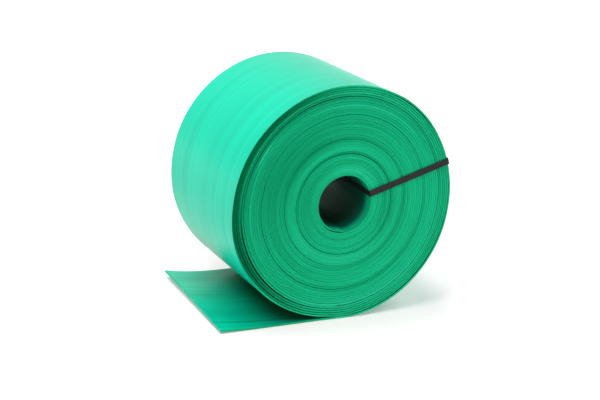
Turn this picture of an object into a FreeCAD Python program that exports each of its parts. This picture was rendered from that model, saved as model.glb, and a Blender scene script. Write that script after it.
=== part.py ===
import FreeCAD, Part
import math
import os

import Sketcher

# A roll of flat-lying irrigation hose, bound by one plastic strap.
# The hose is one long flat band, wound as a spiral round an empty bore. Its inner turns are one
# ring whose walls are a turn of the spiral each, with the gaps beside its slackest turns in both
# faces. From there the winding goes on as a band of its true thickness. The outermost turn runs
# off flat along the floor as a free tail, whose end curls up and opens as a thin slit. The strap
# goes through the bore and round the outside, and a crimped steel seal holds its lapped ends.
# Millimetres, +Z up, +Y along the roll's axis away from the front face, tail towards -X, origin
# on the floor beneath the axis.

SIZES = (
    ("rim_radius", 175.0, "outer face of the outermost quarter turn"),
    ("bore_radius", 40.2, "inner face of the innermost quarter turn"),
    ("loops", 5, "outer turns, which are wound as a band round the ring of inner turns"),
    ("flat_width", 245.0, "flat width of the hose, which is the roll's length"),
    ("band_thick", 3.0, "the flattened hose, both walls together"),
    ("turn_gap", 0.53, "air between one turn and the next"),
    ("slack_turns", 6, "inner turns so slack that the gap beside them shows on both faces"),
    ("slack_width", 0.9, "width of such a gap between the two rounded folds"),
    ("slack_depth", 2.2, "depth of such a gap, down to where the turns touch"),
    ("foot_depth", 0.5, "how far the lowest turn is pressed flat by the roll's weight"),
    ("foot_bend", 60.0, "bend where the lowest turn meets the floor"),
    ("tail_flat", 95.0, "tail that lies flat, from under the axis"),
    ("curl_radius", 480.0, "upward curl of the tail's end"),
    ("curl_length", 80.0, "length of that curl along the hose"),
    ("mouth_gap", 0.5, "slit between the two walls at the open end"),
    ("mouth_depth", 60.0, "how far in the slit is open"),
    ("fold_wall", 3.0, "solid fold at each edge of the slit"),
    ("strap_wide", 9.0, "width of the strap"),
    ("strap_thick", 0.7, "thickness of the strap"),
    ("strap_clear", 0.3, "air between the strap and the hose"),
    ("strap_bend", 0.8, "inner bend of the strap at the hose's edges"),
    ("strap_angle", 18.0, "rise of the strap above level, seen from the front, in degrees"),
    ("lap_length", 60.0, "length over which the strap's two ends lie on each other"),
    ("lap_gap", 0.1, "air between the two lapped ends"),
    ("lap_lead", 1.0, "how soon before the lower end's tip the upper end is clear of it"),
    ("rise_bend", 100.0, "gentle bends that lift the strap's ends onto the lap"),
    ("seal_length", 28.0, "length of the steel seal along the strap"),
    ("seal_thick", 0.5, "sheet of the seal"),
    ("seal_clear", 0.1, "air between the seal and the strap, above and below"),
    ("seal_side", 0.15, "air between the seal and the strap's edges"),
    ("seal_slot", 2.0, "gap between the seal's two folded flanges"),
    ("seal_round", 0.4, "rounding of the seal's long outer edges"),
    ("crimp_radius", 2.5, "radius of the crimp notches"),
    ("crimp_depth", 0.6, "depth of the crimp notches"),
    ("crimp_pitch", 14.0, "spacing of the two crimp notches on each side"),
)

STEP = "(dims.band_thick + dims.turn_gap) / 4"
AXIS_HEIGHT = "(dims.rim_radius - dims.foot_depth)"
INNER_TURNS_RADIUS = f"(dims.rim_radius - dims.foot_depth - (4 * round(dims.loops) + 3) * {STEP})"
# The strap's frame stands on the centre that the quarter turns between level right and the top
# share, so the hose's faces there are round about it.
STRAP_CENTRE = f"(dims.foot_depth + {STEP})"
RIM_SEAT = f"(dims.rim_radius - {STRAP_CENTRE})"
BORE_SEAT = f"sqrt((dims.bore_radius + 2 * {STEP})^2 - (dims.strap_wide / 2)^2)"
HUG = f"({RIM_SEAT} + dims.strap_clear + dims.strap_thick / 2)"
LOWER_LAP = f"({HUG} + dims.seal_thick + dims.seal_clear)"
UPPER_LAP = f"({LOWER_LAP} + dims.strap_thick + dims.lap_gap)"
IN_BORE = f"({BORE_SEAT} - dims.strap_clear - dims.strap_thick / 2)"
FACE_SIDE = "(dims.flat_width / 2 + dims.strap_clear + dims.strap_thick / 2)"
CORNER = "(dims.strap_bend + dims.strap_thick / 2)"
SEAL_HALF_WIDTH = "(dims.strap_wide / 2 + dims.seal_side + dims.seal_thick)"
SEAL_INSIDE = f"({RIM_SEAT} + dims.strap_clear)"
SEAL_OUTSIDE = f"({UPPER_LAP} + dims.strap_thick / 2 + dims.seal_clear + dims.seal_thick)"

GAP_SAMPLES = 9  # points per edge where the gap between turns is measured
SLACK_LEAD = 0.7  # where the first slack turn lies, in shares of their spacing from the bore
QUARTERS = {side: (90.0 * side, 90.0 * side - 90.0) for side in range(4)}  # clockwise, in degrees


def point(x, z, y=0.0):
    return FreeCAD.Vector(x, y, z)


def polar(centre, radius, degrees):
    turn = math.radians(degrees)
    return centre + point(radius * math.cos(turn), radius * math.sin(turn))


def arc(centre, radius, first, last):
    """An arc seen from the front, between two directions given in degrees."""
    middle = (first + last) / 2
    ends = (polar(centre, radius, angle) for angle in (first, middle, last))
    return Part.Arc(*ends).toShape()


def make_sheet(doc):
    sheet = doc.addObject("Spreadsheet::Sheet", "dims")
    for row, (alias, value, note) in enumerate(SIZES, start=1):
        sheet.set(f"A{row}", str(value))
        sheet.setAlias(f"A{row}", alias)
        sheet.set(f"B{row}", note)
    doc.recompute()
    return sheet


def quarter_step(dims):
    """How much a quarter turn's radius grows over the one before."""
    return (dims.band_thick + dims.turn_gap) / 4


def quarter_centre(dims, side):
    """The centre of a quarter turn: side 0 runs clockwise from the right to the bottom, 3 from
    there to the left, 2 to the top and 1 back to the right. The four centres lie round a small
    square, so that the radius grows by one step and the spiral stays smooth."""
    step = quarter_step(dims)
    return point(
        dims.foot_depth + (step if side in (1, 2) else 0.0),
        dims.rim_radius - dims.foot_depth + (step if side in (2, 3) else 0.0),
    )


def centre_line(dims):
    """The wound band's line to its free end, all tangent arcs and one straight.

    The last quarter turn has a centre of its own. It stands off by as much as it is then
    pressed flat, so the turn above the foot keeps its air.
    """
    last_radius = dims.rim_radius - dims.band_thick / 2
    axis_height = dims.rim_radius - dims.foot_depth
    # The lowest turn leaves its circle on a bend that meets the floor's level tangentially.
    reach = last_radius - dims.foot_bend
    foot_start = math.sqrt(reach**2 - (reach - dims.foot_depth) ** 2)
    foot_angle = math.degrees(math.asin(foot_start / reach))
    edges = []
    for quarters_left in range(4 * round(dims.loops) - 1, 0, -1):
        side = quarters_left % 4
        radius = last_radius - dims.foot_depth - quarters_left * quarter_step(dims)
        edges.append(arc(quarter_centre(dims, side), radius, *QUARTERS[side]))
    edges.append(arc(point(0.0, axis_height), last_radius, 0.0, foot_angle - 90.0))
    floor_line = dims.band_thick / 2
    bend_centre = point(foot_start, floor_line + dims.foot_bend)
    edges.append(arc(bend_centre, dims.foot_bend, foot_angle - 90.0, -90.0))
    lift_off = point(-dims.tail_flat, floor_line)
    edges.append(Part.LineSegment(point(foot_start, floor_line), lift_off).toShape())
    edges.append(curl(dims, dims.curl_length))
    return edges


def curl(dims, length):
    """The last stretch of the tail, of the given length, up to the free end."""
    radius = dims.curl_radius
    centre = point(-dims.tail_flat, dims.band_thick / 2 + radius)
    end = -90.0 - math.degrees(dims.curl_length / radius)
    return arc(centre, radius, end + math.degrees(length / radius), end)


def sweep(edges, section):
    """A solid along a line in the XZ plane, whose section has corners given as pairs: the place
    along Y and the height over the line."""
    start = edges[0].valueAt(edges[0].FirstParameter)
    up = edges[0].tangentAt(edges[0].FirstParameter).cross(FreeCAD.Vector(0, 1, 0))
    corners = [start + FreeCAD.Vector(0, y, 0) + up * height for y, height in section]
    pipe = Part.BRepOffsetAPI.MakePipeShell(Part.Wire(edges))
    pipe.add(Part.makePolygon(corners + corners[:1]))
    pipe.build()
    pipe.makeSolid()
    return pipe.shape()


def flat_section(width, thickness):
    y, height = width / 2, thickness / 2
    return ((y, height), (-y, height), (-y, -height), (y, -height))


def least_gap(edges, thickness):
    """The least air between one stretch of the line and the next turn outside it."""
    least = None
    for number, edge in enumerate(edges):
        span = edge.LastParameter - edge.FirstParameter
        places = [
            Part.Vertex(edge.valueAt(edge.FirstParameter + span * n / (GAP_SAMPLES - 1)))
            for n in range(GAP_SAMPLES)
        ]
        for other in edges[number + 3 : number + 8]:
            for place in places:
                gap = place.distToShape(other)[0] - thickness
                least = gap if least is None else min(least, gap)
    return least


def make_hose(doc, dims):
    """The band in one piece, less the slit between its walls at the open end."""
    line = centre_line(dims)
    band = doc.addObject("Part::Feature", "hose_band")
    band.Shape = sweep(line, flat_section(dims.flat_width, dims.band_thick))
    length = sum(edge.Length for edge in line)
    expected = length * dims.flat_width * dims.band_thick
    print(f"hose: {length / 1000:.2f} m long, {round(dims.loops)} turns")
    print(f"hose: volume over section times length {band.Shape.Volume / expected:.6f}")
    print(f"hose: least gap between turns {least_gap(line, dims.band_thick):.3f} mm")

    inside = curl(dims, dims.mouth_depth)
    mouth_end = inside.valueAt(inside.LastParameter)
    outwards = inside.tangentAt(inside.LastParameter) * dims.band_thick
    past_the_end = Part.LineSegment(mouth_end, mouth_end + outwards).toShape()
    slit = doc.addObject("Part::Feature", "hose_slit")
    slit_width = dims.flat_width - 2 * dims.fold_wall
    slit.Shape = sweep([inside, past_the_end], flat_section(slit_width, dims.mouth_gap))

    hose = doc.addObject("Part::Cut", "hose")
    hose.Base = band
    hose.Tool = slit
    return hose


def strap_body(doc, name):
    """A body in the strap's frame: X out along the strap's plane, Y along the roll's axis."""
    body = doc.addObject("PartDesign::Body", name)
    tilt = FreeCAD.Rotation(FreeCAD.Vector(0, -1, 0), 1)
    body.Placement = FreeCAD.Placement(FreeCAD.Vector(), tilt)
    body.setExpression("Placement.Base.x", STRAP_CENTRE)
    body.setExpression("Placement.Base.z", AXIS_HEIGHT)
    body.setExpression("Placement.Rotation.Angle", "dims.strap_angle")
    return body


def new_sketch(body, name, plane_role):
    sketch = body.newObject("Sketcher::SketchObject", name)
    plane = next(f for f in body.Origin.OriginFeatures if f.Role == plane_role)
    sketch.AttachmentSupport = [(plane, "")]
    sketch.MapMode = "FlatFace"
    return sketch


def place_from(sketch, entry, place, x=None, y=None):
    """Ties a point of a sketch to the sketch's origin by the given expressions."""
    for kind, text in (("DistanceX", x), ("DistanceY", y)):
        if text is None:
            continue
        now = value_of(sketch.Document, text)
        added = sketch.addConstraint(Sketcher.Constraint(kind, -1, 1, entry, place, now))
        sketch.setExpression(f"Constraints[{added}]", text)


def value_of(doc, text):
    """The present value of an expression, for the first placing of a sketch's lines."""
    return float(doc.dims.evalExpression(text))


def spiral_turn(sketch, dims, first_radius):
    """One turn of the spiral, clockwise from the bottom, and the step that closes it."""
    arcs = []
    for number, side in enumerate((3, 2, 1, 0)):
        radius = f"{first_radius} + {number} * {STEP}"
        centre = quarter_centre(dims, side)
        circle = Part.Circle(
            FreeCAD.Vector(centre.x, centre.z, 0),
            FreeCAD.Vector(0, 0, 1),
            value_of(sketch.Document, radius),
        )
        turn = math.radians(90 * side)
        entry = sketch.addGeometry(Part.ArcOfCircle(circle, turn - math.pi / 2, turn))
        # An arc's second point is where the clockwise spiral comes in, and its first where it
        # leaves. Each lies level with the centre, or straight above or below it.
        arriving, leaving = ("Vertical", "Horizontal") if side % 2 else ("Horizontal", "Vertical")
        sketch.addConstraint(Sketcher.Constraint(arriving, entry, 3, entry, 2))
        sketch.addConstraint(Sketcher.Constraint(leaving, entry, 3, entry, 1))
        size = sketch.addConstraint(Sketcher.Constraint("Radius", entry, circle.Radius))
        sketch.setExpression(f"Constraints[{size}]", radius)
        if arcs:
            sketch.addConstraint(Sketcher.Constraint("Coincident", arcs[-1], 1, entry, 2))
        else:
            place_from(sketch, entry, 3, "dims.foot_depth", f"{AXIS_HEIGHT} + {STEP}")
        arcs.append(entry)
    inner, outer = sketch.getPoint(arcs[0], 2), sketch.getPoint(arcs[-1], 1)
    ending = sketch.addGeometry(Part.LineSegment(outer, inner))
    sketch.addConstraint(Sketcher.Constraint("Coincident", arcs[-1], 1, ending, 1))
    sketch.addConstraint(Sketcher.Constraint("Coincident", arcs[0], 2, ending, 2))


def slack_gaps(doc, dims):
    """The gaps beside the slack turns, each one turn long, as wedges sunk in both faces."""
    first = dims.bore_radius
    room = value_of(doc, INNER_TURNS_RADIUS) - first
    sink = dims.slack_depth
    wedges = []
    for number in range(round(dims.slack_turns)):
        radius = first + room * (number + SLACK_LEAD) / round(dims.slack_turns)
        line = [
            arc(quarter_centre(dims, side), radius + step * quarter_step(dims), *QUARTERS[side])
            for step, side in enumerate((3, 2, 1, 0))
        ]
        for face in (-dims.flat_width / 2, dims.flat_width / 2):
            out = math.copysign(sink, face)
            wedge = ((face + out, dims.slack_width), (face - out, 0.0), (face + out, -dims.slack_width))
            wedges.append(sweep(line, wedge))
    return wedges


def make_inner_turns(doc, dims):
    """The inner turns as one ring, with the inner end's step in the bore."""
    body = doc.addObject("PartDesign::Body", "inner_turns_ring")
    outline = new_sketch(body, "inner_turns_outline", "XZ_Plane")
    spiral_turn(outline, dims, INNER_TURNS_RADIUS)
    spiral_turn(outline, dims, "dims.bore_radius")
    doc.recompute()
    ring = body.newObject("PartDesign::Pad", "ring")
    ring.Profile = outline
    ring.SideType = "Symmetric"
    ring.setExpression("Length", "dims.flat_width")
    doc.recompute()
    gaps = doc.addObject("Part::Feature", "slack_gaps")
    gaps.Shape = Part.makeCompound(slack_gaps(doc, dims))
    inner_turns = doc.addObject("Part::Cut", "inner_turns")
    inner_turns.Base = body
    inner_turns.Tool = gaps
    return inner_turns


def strap_path(doc, body):
    """The strap's centre line: from the lower lapped end, over the back face, through the
    bore, over the front face and up onto the lap. Lines and the arcs between them alternate,
    apart from the two pairs of arcs that lift the ends."""
    hug, lower, upper, bore, side, corner, rise, half_lap, lead = (
        value_of(doc, text)
        for text in (
            HUG, LOWER_LAP, UPPER_LAP, IN_BORE, FACE_SIDE, CORNER,
            "dims.rise_bend", "dims.lap_length / 2", "dims.lap_lead",
        )
    )

    def rise_run(height):
        """Half the length of the double bend that lifts the strap by the given height."""
        return rise * math.sin(math.acos(1 - height / (2 * rise)))

    low_run, high_run = rise_run(lower - hug), rise_run(upper - hug)
    lifted = -half_lap - lead
    stops = (
        (lower, -half_lap),
        (lower, half_lap),
        ((lower + hug) / 2, half_lap + low_run, (lower - rise, half_lap)),
        (hug, half_lap + 2 * low_run, (hug + rise, half_lap + 2 * low_run)),
        (hug, side - corner),
        (hug - corner, side, (hug - corner, side - corner)),
        (bore + corner, side),
        (bore, side - corner, (bore + corner, side - corner)),
        (bore, corner - side),
        (bore + corner, -side, (bore + corner, corner - side)),
        (hug - corner, -side),
        (hug, corner - side, (hug - corner, corner - side)),
        (hug, lifted - 2 * high_run),
        ((upper + hug) / 2, lifted - high_run, (hug + rise, lifted - 2 * high_run)),
        (upper, lifted, (upper - rise, lifted)),
        (upper, half_lap),
    )
    path = new_sketch(body, "strap_path", "XY_Plane")
    ends = []
    for (x0, y0, *_), (x1, y1, *middle) in zip(stops, stops[1:]):
        start, end = FreeCAD.Vector(x0, y0, 0), FreeCAD.Vector(x1, y1, 0)
        if not middle:
            entry = path.addGeometry(Part.LineSegment(start, end))
            upright = abs(x1 - x0) < abs(y1 - y0)
            path.addConstraint(Sketcher.Constraint("Vertical" if upright else "Horizontal", entry))
            ends.append((entry, 1, 2))
            continue
        centre = FreeCAD.Vector(*middle[0], 0)
        first, last = (math.atan2(p.y - centre.y, p.x - centre.x) for p in (start, end))
        left_turn = (last - first) % (2 * math.pi) < math.pi
        circle = Part.Circle(centre, FreeCAD.Vector(0, 0, 1), (start - centre).Length)
        entry = path.addGeometry(
            Part.ArcOfCircle(circle, *((first, last) if left_turn else (last, first)))
        )
        is_corner = (start - centre).Length < rise / 2
        radius = path.addConstraint(Sketcher.Constraint("Radius", entry, circle.Radius))
        path.setExpression(f"Constraints[{radius}]", CORNER if is_corner else "dims.rise_bend")
        ends.append((entry, 1, 2) if left_turn else (entry, 2, 1))
    for (entry, _, leaving), (following, arriving, _) in zip(ends, ends[1:]):
        path.addConstraint(Sketcher.Constraint("Tangent", entry, leaving, following, arriving))
    place_from(path, ends[0][0], 1, LOWER_LAP, "-dims.lap_length / 2")
    place_from(path, ends[0][0], 2, None, "dims.lap_length / 2")
    place_from(path, ends[3][0], 2, HUG)
    place_from(path, ends[5][0], 1, None, FACE_SIDE)
    place_from(path, ends[7][0], 1, IN_BORE)
    place_from(path, ends[9][0], 1, None, f"-{FACE_SIDE}")
    place_from(path, ends[11][0], 1, HUG)
    place_from(path, ends[14][0], 1, UPPER_LAP, "-dims.lap_length / 2 - dims.lap_lead")
    place_from(path, ends[14][0], 2, None, "dims.lap_length / 2")
    return path


def make_strap(doc):
    """The strap: its section swept along its path, one open band with lapped ends."""
    body = strap_body(doc, "strap")
    path = strap_path(doc, body)
    section = new_sketch(body, "strap_section", "XZ_Plane")
    section.setExpression("AttachmentOffset.Base.z", "dims.lap_length / 2")
    thick, wide = "dims.strap_thick / 2", "dims.strap_wide / 2"
    rectangle(
        section, f"{LOWER_LAP} - {thick}", f"{LOWER_LAP} + {thick}", f"-{wide}", wide
    )
    doc.recompute()
    pipe = body.newObject("PartDesign::AdditivePipe", "strap_band")
    pipe.Profile = section
    pipe.Spine = (path, [])
    doc.recompute()
    return body


def closed_outline(sketch, corners):
    """Straight lines through corners given as pairs of expressions, level or upright."""
    places = [
        FreeCAD.Vector(value_of(sketch.Document, x), value_of(sketch.Document, y), 0)
        for x, y in corners
    ]
    lines = [
        sketch.addGeometry(Part.LineSegment(start, end))
        for start, end in zip(places, places[1:] + places[:1])
    ]
    for number, line in enumerate(lines):
        following = lines[(number + 1) % len(lines)]
        sketch.addConstraint(Sketcher.Constraint("Coincident", line, 2, following, 1))
        level = corners[number][1] == corners[(number + 1) % len(corners)][1]
        sketch.addConstraint(Sketcher.Constraint("Horizontal" if level else "Vertical", line))
        # The line fixes one coordinate of its own start: the one that its direction keeps.
        x, y = corners[number]
        place_from(sketch, line, 1, None if level else x, y if level else None)
    return lines


def rectangle(sketch, low_x, high_x, low_y, high_y):
    corners = ((low_x, low_y), (high_x, low_y), (high_x, high_y), (low_x, high_y))
    return closed_outline(sketch, corners)


def make_seal(doc):
    """The steel seal: a sheet folded round both lapped ends, its flanges under the strap,
    crimped by two notches on each side."""
    body = strap_body(doc, "strap_seal")
    outline = new_sketch(body, "seal_outline", "XZ_Plane")
    sheet = "dims.seal_thick"
    wide, inner_wide = SEAL_HALF_WIDTH, f"({SEAL_HALF_WIDTH} - {sheet})"
    closed_outline(
        outline,
        (
            (SEAL_INSIDE, f"-{wide}"),
            (SEAL_OUTSIDE, f"-{wide}"),
            (SEAL_OUTSIDE, wide),
            (SEAL_INSIDE, wide),
            (SEAL_INSIDE, "dims.seal_slot / 2"),
            (f"{SEAL_INSIDE} + {sheet}", "dims.seal_slot / 2"),
            (f"{SEAL_INSIDE} + {sheet}", inner_wide),
            (f"{SEAL_OUTSIDE} - {sheet}", inner_wide),
            (f"{SEAL_OUTSIDE} - {sheet}", f"-{inner_wide}"),
            (f"{SEAL_INSIDE} + {sheet}", f"-{inner_wide}"),
            (f"{SEAL_INSIDE} + {sheet}", "-dims.seal_slot / 2"),
            (SEAL_INSIDE, "-dims.seal_slot / 2"),
        ),
    )
    doc.recompute()
    sleeve = body.newObject("PartDesign::Pad", "seal_sleeve")
    sleeve.Profile = outline
    sleeve.SideType = "Symmetric"
    sleeve.setExpression("Length", "dims.seal_length")
    doc.recompute()

    rounding = body.newObject("PartDesign::Fillet", "seal_rounding")
    half = value_of(doc, SEAL_HALF_WIDTH)
    rounding.Base = (sleeve, long_edges_at(sleeve.Shape, half))
    rounding.setExpression("Radius", "dims.seal_round")
    doc.recompute()

    notches = new_sketch(body, "seal_notches", "YZ_Plane")
    reach = f"({SEAL_HALF_WIDTH} + dims.crimp_radius - dims.crimp_depth)"
    for along in ("-", ""):
        for across in ("-", ""):
            x, y = f"{along}dims.crimp_pitch / 2", f"{across}{reach}"
            centre = FreeCAD.Vector(value_of(doc, x), value_of(doc, y), 0)
            radius = value_of(doc, "dims.crimp_radius")
            notch = notches.addGeometry(Part.Circle(centre, FreeCAD.Vector(0, 0, 1), radius))
            place_from(notches, notch, 3, x, y)
            size = notches.addConstraint(Sketcher.Constraint("Radius", notch, radius))
            notches.setExpression(f"Constraints[{size}]", "dims.crimp_radius")
    doc.recompute()
    crimps = body.newObject("PartDesign::Pocket", "seal_crimps")
    crimps.Profile = notches
    crimps.Type = "ThroughAll"
    crimps.SideType = "Symmetric"
    doc.recompute()
    if crimps.Shape.Volume >= rounding.Shape.Volume:
        raise RuntimeError("the crimp notches cut nothing")
    return body


def long_edges_at(shape, half_width):
    """The names of the edges along Y that lie at the given distance to either side."""
    names = []
    for number, edge in enumerate(shape.Edges, start=1):
        box = edge.BoundBox
        beside = abs(abs(box.ZMin) - half_width) < 1e-6 and box.ZLength < 1e-6
        if beside and box.XLength < 1e-6 and box.YLength > 0:
            names.append(f"Edge{number}")
    return names


def write_parts(doc, parts):
    """Each finished piece goes to its own file, once all of them are sound."""
    doc.recompute()
    for thing in doc.Objects:
        if "Invalid" in thing.State or "Error" in thing.State:
            raise RuntimeError(f"{thing.Label} failed: {thing.State}")
    for part in parts:
        if part.Shape.isNull() or not part.Shape.isValid():
            raise RuntimeError(f"{part.Label} has no sound shape")
    os.makedirs("parts", exist_ok=True)
    for part in parts:
        part.Shape.exportStep(f"parts/{part.Label}.step")
        box = part.Shape.BoundBox
        print(
            f"{part.Label}: {len(part.Shape.Solids)} solid, {len(part.Shape.Faces)} faces, "
            f"{part.Shape.Volume / 1000:.1f} cm3, x {box.XMin:.2f} to {box.XMax:.2f}, "
            f"y {box.YMin:.2f} to {box.YMax:.2f}, z {box.ZMin:.2f} to {box.ZMax:.2f}"
        )


doc = FreeCAD.newDocument("soaker_hose_roll")
dims = make_sheet(doc)
hose = make_hose(doc, dims)
inner_turns = make_inner_turns(doc, dims)
write_parts(doc, [hose, inner_turns, make_strap(doc), make_seal(doc)])
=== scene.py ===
import math

import bpy
import numpy as np
from mathutils import Matrix, Vector


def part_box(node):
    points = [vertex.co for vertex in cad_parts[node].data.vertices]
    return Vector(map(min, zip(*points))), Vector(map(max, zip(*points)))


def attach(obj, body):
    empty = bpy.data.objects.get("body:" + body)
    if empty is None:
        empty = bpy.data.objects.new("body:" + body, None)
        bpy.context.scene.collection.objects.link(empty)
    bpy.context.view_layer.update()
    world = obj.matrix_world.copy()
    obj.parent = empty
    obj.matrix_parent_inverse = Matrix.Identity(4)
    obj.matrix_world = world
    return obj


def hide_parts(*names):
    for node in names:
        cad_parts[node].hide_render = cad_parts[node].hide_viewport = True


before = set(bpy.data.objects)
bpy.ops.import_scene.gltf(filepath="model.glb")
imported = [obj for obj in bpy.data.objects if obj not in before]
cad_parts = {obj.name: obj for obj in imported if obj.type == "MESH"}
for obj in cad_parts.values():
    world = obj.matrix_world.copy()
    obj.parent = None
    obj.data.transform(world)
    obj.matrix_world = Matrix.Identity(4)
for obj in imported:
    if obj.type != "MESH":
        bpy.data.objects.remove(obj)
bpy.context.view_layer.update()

# A roll of flat green hose: its whole spiral with the free tail as one mesh, materials for the
# hose, the strap and the seal, and the photograph's floor, light and camera. Lengths are in
# metres, +Z up, +Y along the roll's axis away from the camera. Places along the spiral are turn
# numbers, 0 at the inner end. Angles round the roll are degrees anticlockwise from its right,
# as seen from the front. A ratio is a distance from its axis over the rim's radius.

MM = 0.001
_, HOSE_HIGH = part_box("hose")

# The roll, wound clockwise from the bottom of its bore, as seen from the front. The spiral's
# centre lies a little beside the axis and above it, and the lowest turn is flattened.
RIM_RADIUS = HOSE_HIGH.x
FOOT_DEPTH = 0.5 * MM
FOOT_SOFTNESS = 0.15 * MM
AXIS_HEIGHT = RIM_RADIUS - FOOT_DEPTH
CENTRE_ASIDE = 0.94 * MM
CENTRE_RISE = 0.44 * MM
SPIRAL_CENTRE = np.array([CENTRE_ASIDE, AXIS_HEIGHT + CENTRE_RISE])
BORE_START = 40.0 * MM
TURNS = 37
LOOSE_TURNS = 5
LOOSENING = 0.3
TIGHT_WALL = 3.38 * MM
LOOSE_WALL = 2.9 * MM
WIDTH_MARGIN = 0.2 * MM
HALF_WIDTH = HOSE_HIGH.y - WIDTH_MARGIN
TABLE_STEPS = 100

# The inner end is pressed thin: its share of the wall, and the turns over which it fills out
INNER_END = (0.42, 0.02, 0.17)

# The hose's folded edges: depth, and fullness from 1, an ellipse, down to 0, a square
TIGHT_FOLD = (0.26 * MM, 0.50)
LOOSE_FOLD = (1.3 * MM, 0.85)

# Slack turns: (ratio, extra air in millimetres), and their spread in turns
SLACK_TURNS = (
    (0.262, 0.20), (0.310, 0.40), (0.345, 0.30), (0.390, 0.30), (0.428, 0.95), (0.545, 0.55),
    (0.585, 0.35), (0.625, 0.25), (0.650, 0.30), (0.680, 0.35), (0.715, 0.35), (0.743, 0.85),
    (0.765, 0.25), (0.790, 0.35), (0.812, 0.30), (0.832, 0.25), (0.855, 0.40), (0.885, 0.90),
)
SLACK_SPREAD = 0.10
# The air beneath the loose turns: (turn number, millimetres). A quarter of a turn runs from the
# bottom to the left, the top and the right.
LOOSE_AIR = (
    (32.00, 0.05), (32.10, 0.35), (32.20, 0.40), (32.27, 0.80), (32.33, 1.30), (32.45, 1.30),
    (32.52, 0.80), (32.60, 0.60), (32.72, 0.42), (32.90, 0.45), (33.00, 0.50), (33.06, 1.10),
    (33.12, 1.80), (33.21, 1.70), (33.26, 0.70), (33.35, 0.35), (33.50, 0.35), (33.70, 0.35),
    (33.90, 0.45), (34.00, 0.50), (34.12, 0.30), (34.30, 0.18), (34.50, 0.22), (34.70, 0.35),
    (34.90, 0.45), (35.00, 0.50), (35.10, 0.90), (35.20, 0.80), (35.28, 0.30), (35.40, 0.18),
    (35.55, 0.30), (35.70, 0.40), (35.90, 0.45), (36.00, 0.50), (36.10, 0.35), (36.25, 0.22),
    (36.40, 0.18), (36.56, 0.30), (36.59, 1.20), (36.63, 1.20), (36.66, 0.30), (36.71, 0.30),
    (36.77, 0.80), (36.82, 1.70), (36.91, 1.90), (36.96, 1.30), (37.00, 0.55),
)

# How far the edges stand back from the roll's flat faces: everywhere, by their wander, whose
# periods are in turns, and at a few turns: (ratio, depth in millimetres, spread)
EDGE_RECESS = 0.2 * MM
EDGE_WANDER = 0.16 * MM
EDGE_PERIODS = (0.9, 2.3, 5.1, 11.0)
EDGE_SEEDS = {"front": 11, "back": 23}
SUNK_TURNS = (
    (0.428, 0.55, 0.006), (0.552, 0.95, 0.010), (0.625, 0.35, 0.006), (0.715, 0.35, 0.006),
    (0.743, 0.60, 0.006), (0.855, 0.40, 0.006),
)
# The loose turns' front edges: (angle, spread, depth in millimetres at the last turn), and the
# power by which that depth grows
LOOSE_SINK = ((125.0, 34.0, -2.4), (205.0, 15.0, 4.6), (244.0, 11.0, 1.6), (50.0, 9.0, 0.9))
SINK_POWER = 1.2

# Waves on the outermost turn: seed, and periods along it in turns or across it in metres. They
# begin and end over a range of turns, and are calm within some turns of the strap.
WAVES_ALONG = (31, (0.45, 0.8, 1.6))
WAVES_ACROSS = (37, (0.045, 0.071, 0.13))
WAVE_DRIFT = 4.0 * MM
WAVE_HEIGHT = 0.10 * MM
WAVES_BEGIN = (TURNS - 1.0, TURNS - 0.9)
WAVES_END = (TURNS - 0.12, TURNS - 0.04)
STRAP_RISE = 18.0
STRAP_TURN = TURNS - 0.25 - STRAP_RISE / 360.0
STRAP_CALM = (0.012, 0.05)

# The mesh: rings to a turn and steps round the section, for the coarse and the fine rings, how
# many turns are fine, and two more rings close to the cut inner end
COARSE_RINGS = 120
COARSE_SIDE, COARSE_FOLD = 6, 6
COARSE_STOPS = (0.0, 3.0 * MM, 21.0 * MM)
FINE_RINGS = 240
FINE_SIDE, FINE_FOLD = 24, 12
FINE_CROWDING = 0.6
FINE_TURNS = 1.25
CUT_END_RINGS = (0.0008, 0.0024)
SHARP_ANGLE = math.radians(50.0)

# The free tail: how far it lies flat at its front edge, and how much sooner it curls at the
# back, where its open end's corners are, and its swerve. The lift grows over a range of its
# width. Two more rings lie close to its lips.
TAIL_FLAT = 95.0 * MM
TAIL_BACK_SOONER = 15.0 * MM
TAIL_FRONT_END = 184.0 * MM
TAIL_BACK_END = 178.5 * MM
TAIL_FRONT_LIFT = 3.0 * MM
TAIL_BACK_LIFT = 9.0 * MM
TAIL_LIFT_RANGE = (-0.1, 0.85)
CURL_POWER = 2.2
TAIL_SWERVE = 7.0 * MM
SWERVE_POWER = 1.6
TAIL_WANDER = 0.25 * MM
TAIL_WAVES = (41, (0.06, 0.11, 0.2))
TAIL_RINGS = 80
LIP_RINGS = np.array([0.8, 0.25]) * MM

# The slit in its open end: its gap, its distance in from the edges, its depth, its rings, which
# crowd at the lips, how unevenly it parts and how much it closes inwards
MOUTH_GAP = 0.3 * MM
MOUTH_FOLD = 3.0 * MM
MOUTH_DEPTH = 45.0 * MM
MOUTH_RINGS = 12
MOUTH_CROWDING = 1.5
MOUTH_PARTING = 0.55
MOUTH_WAVES = (43, (0.05, 0.09, 0.17))
MOUTH_CLOSING = 0.7

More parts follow.
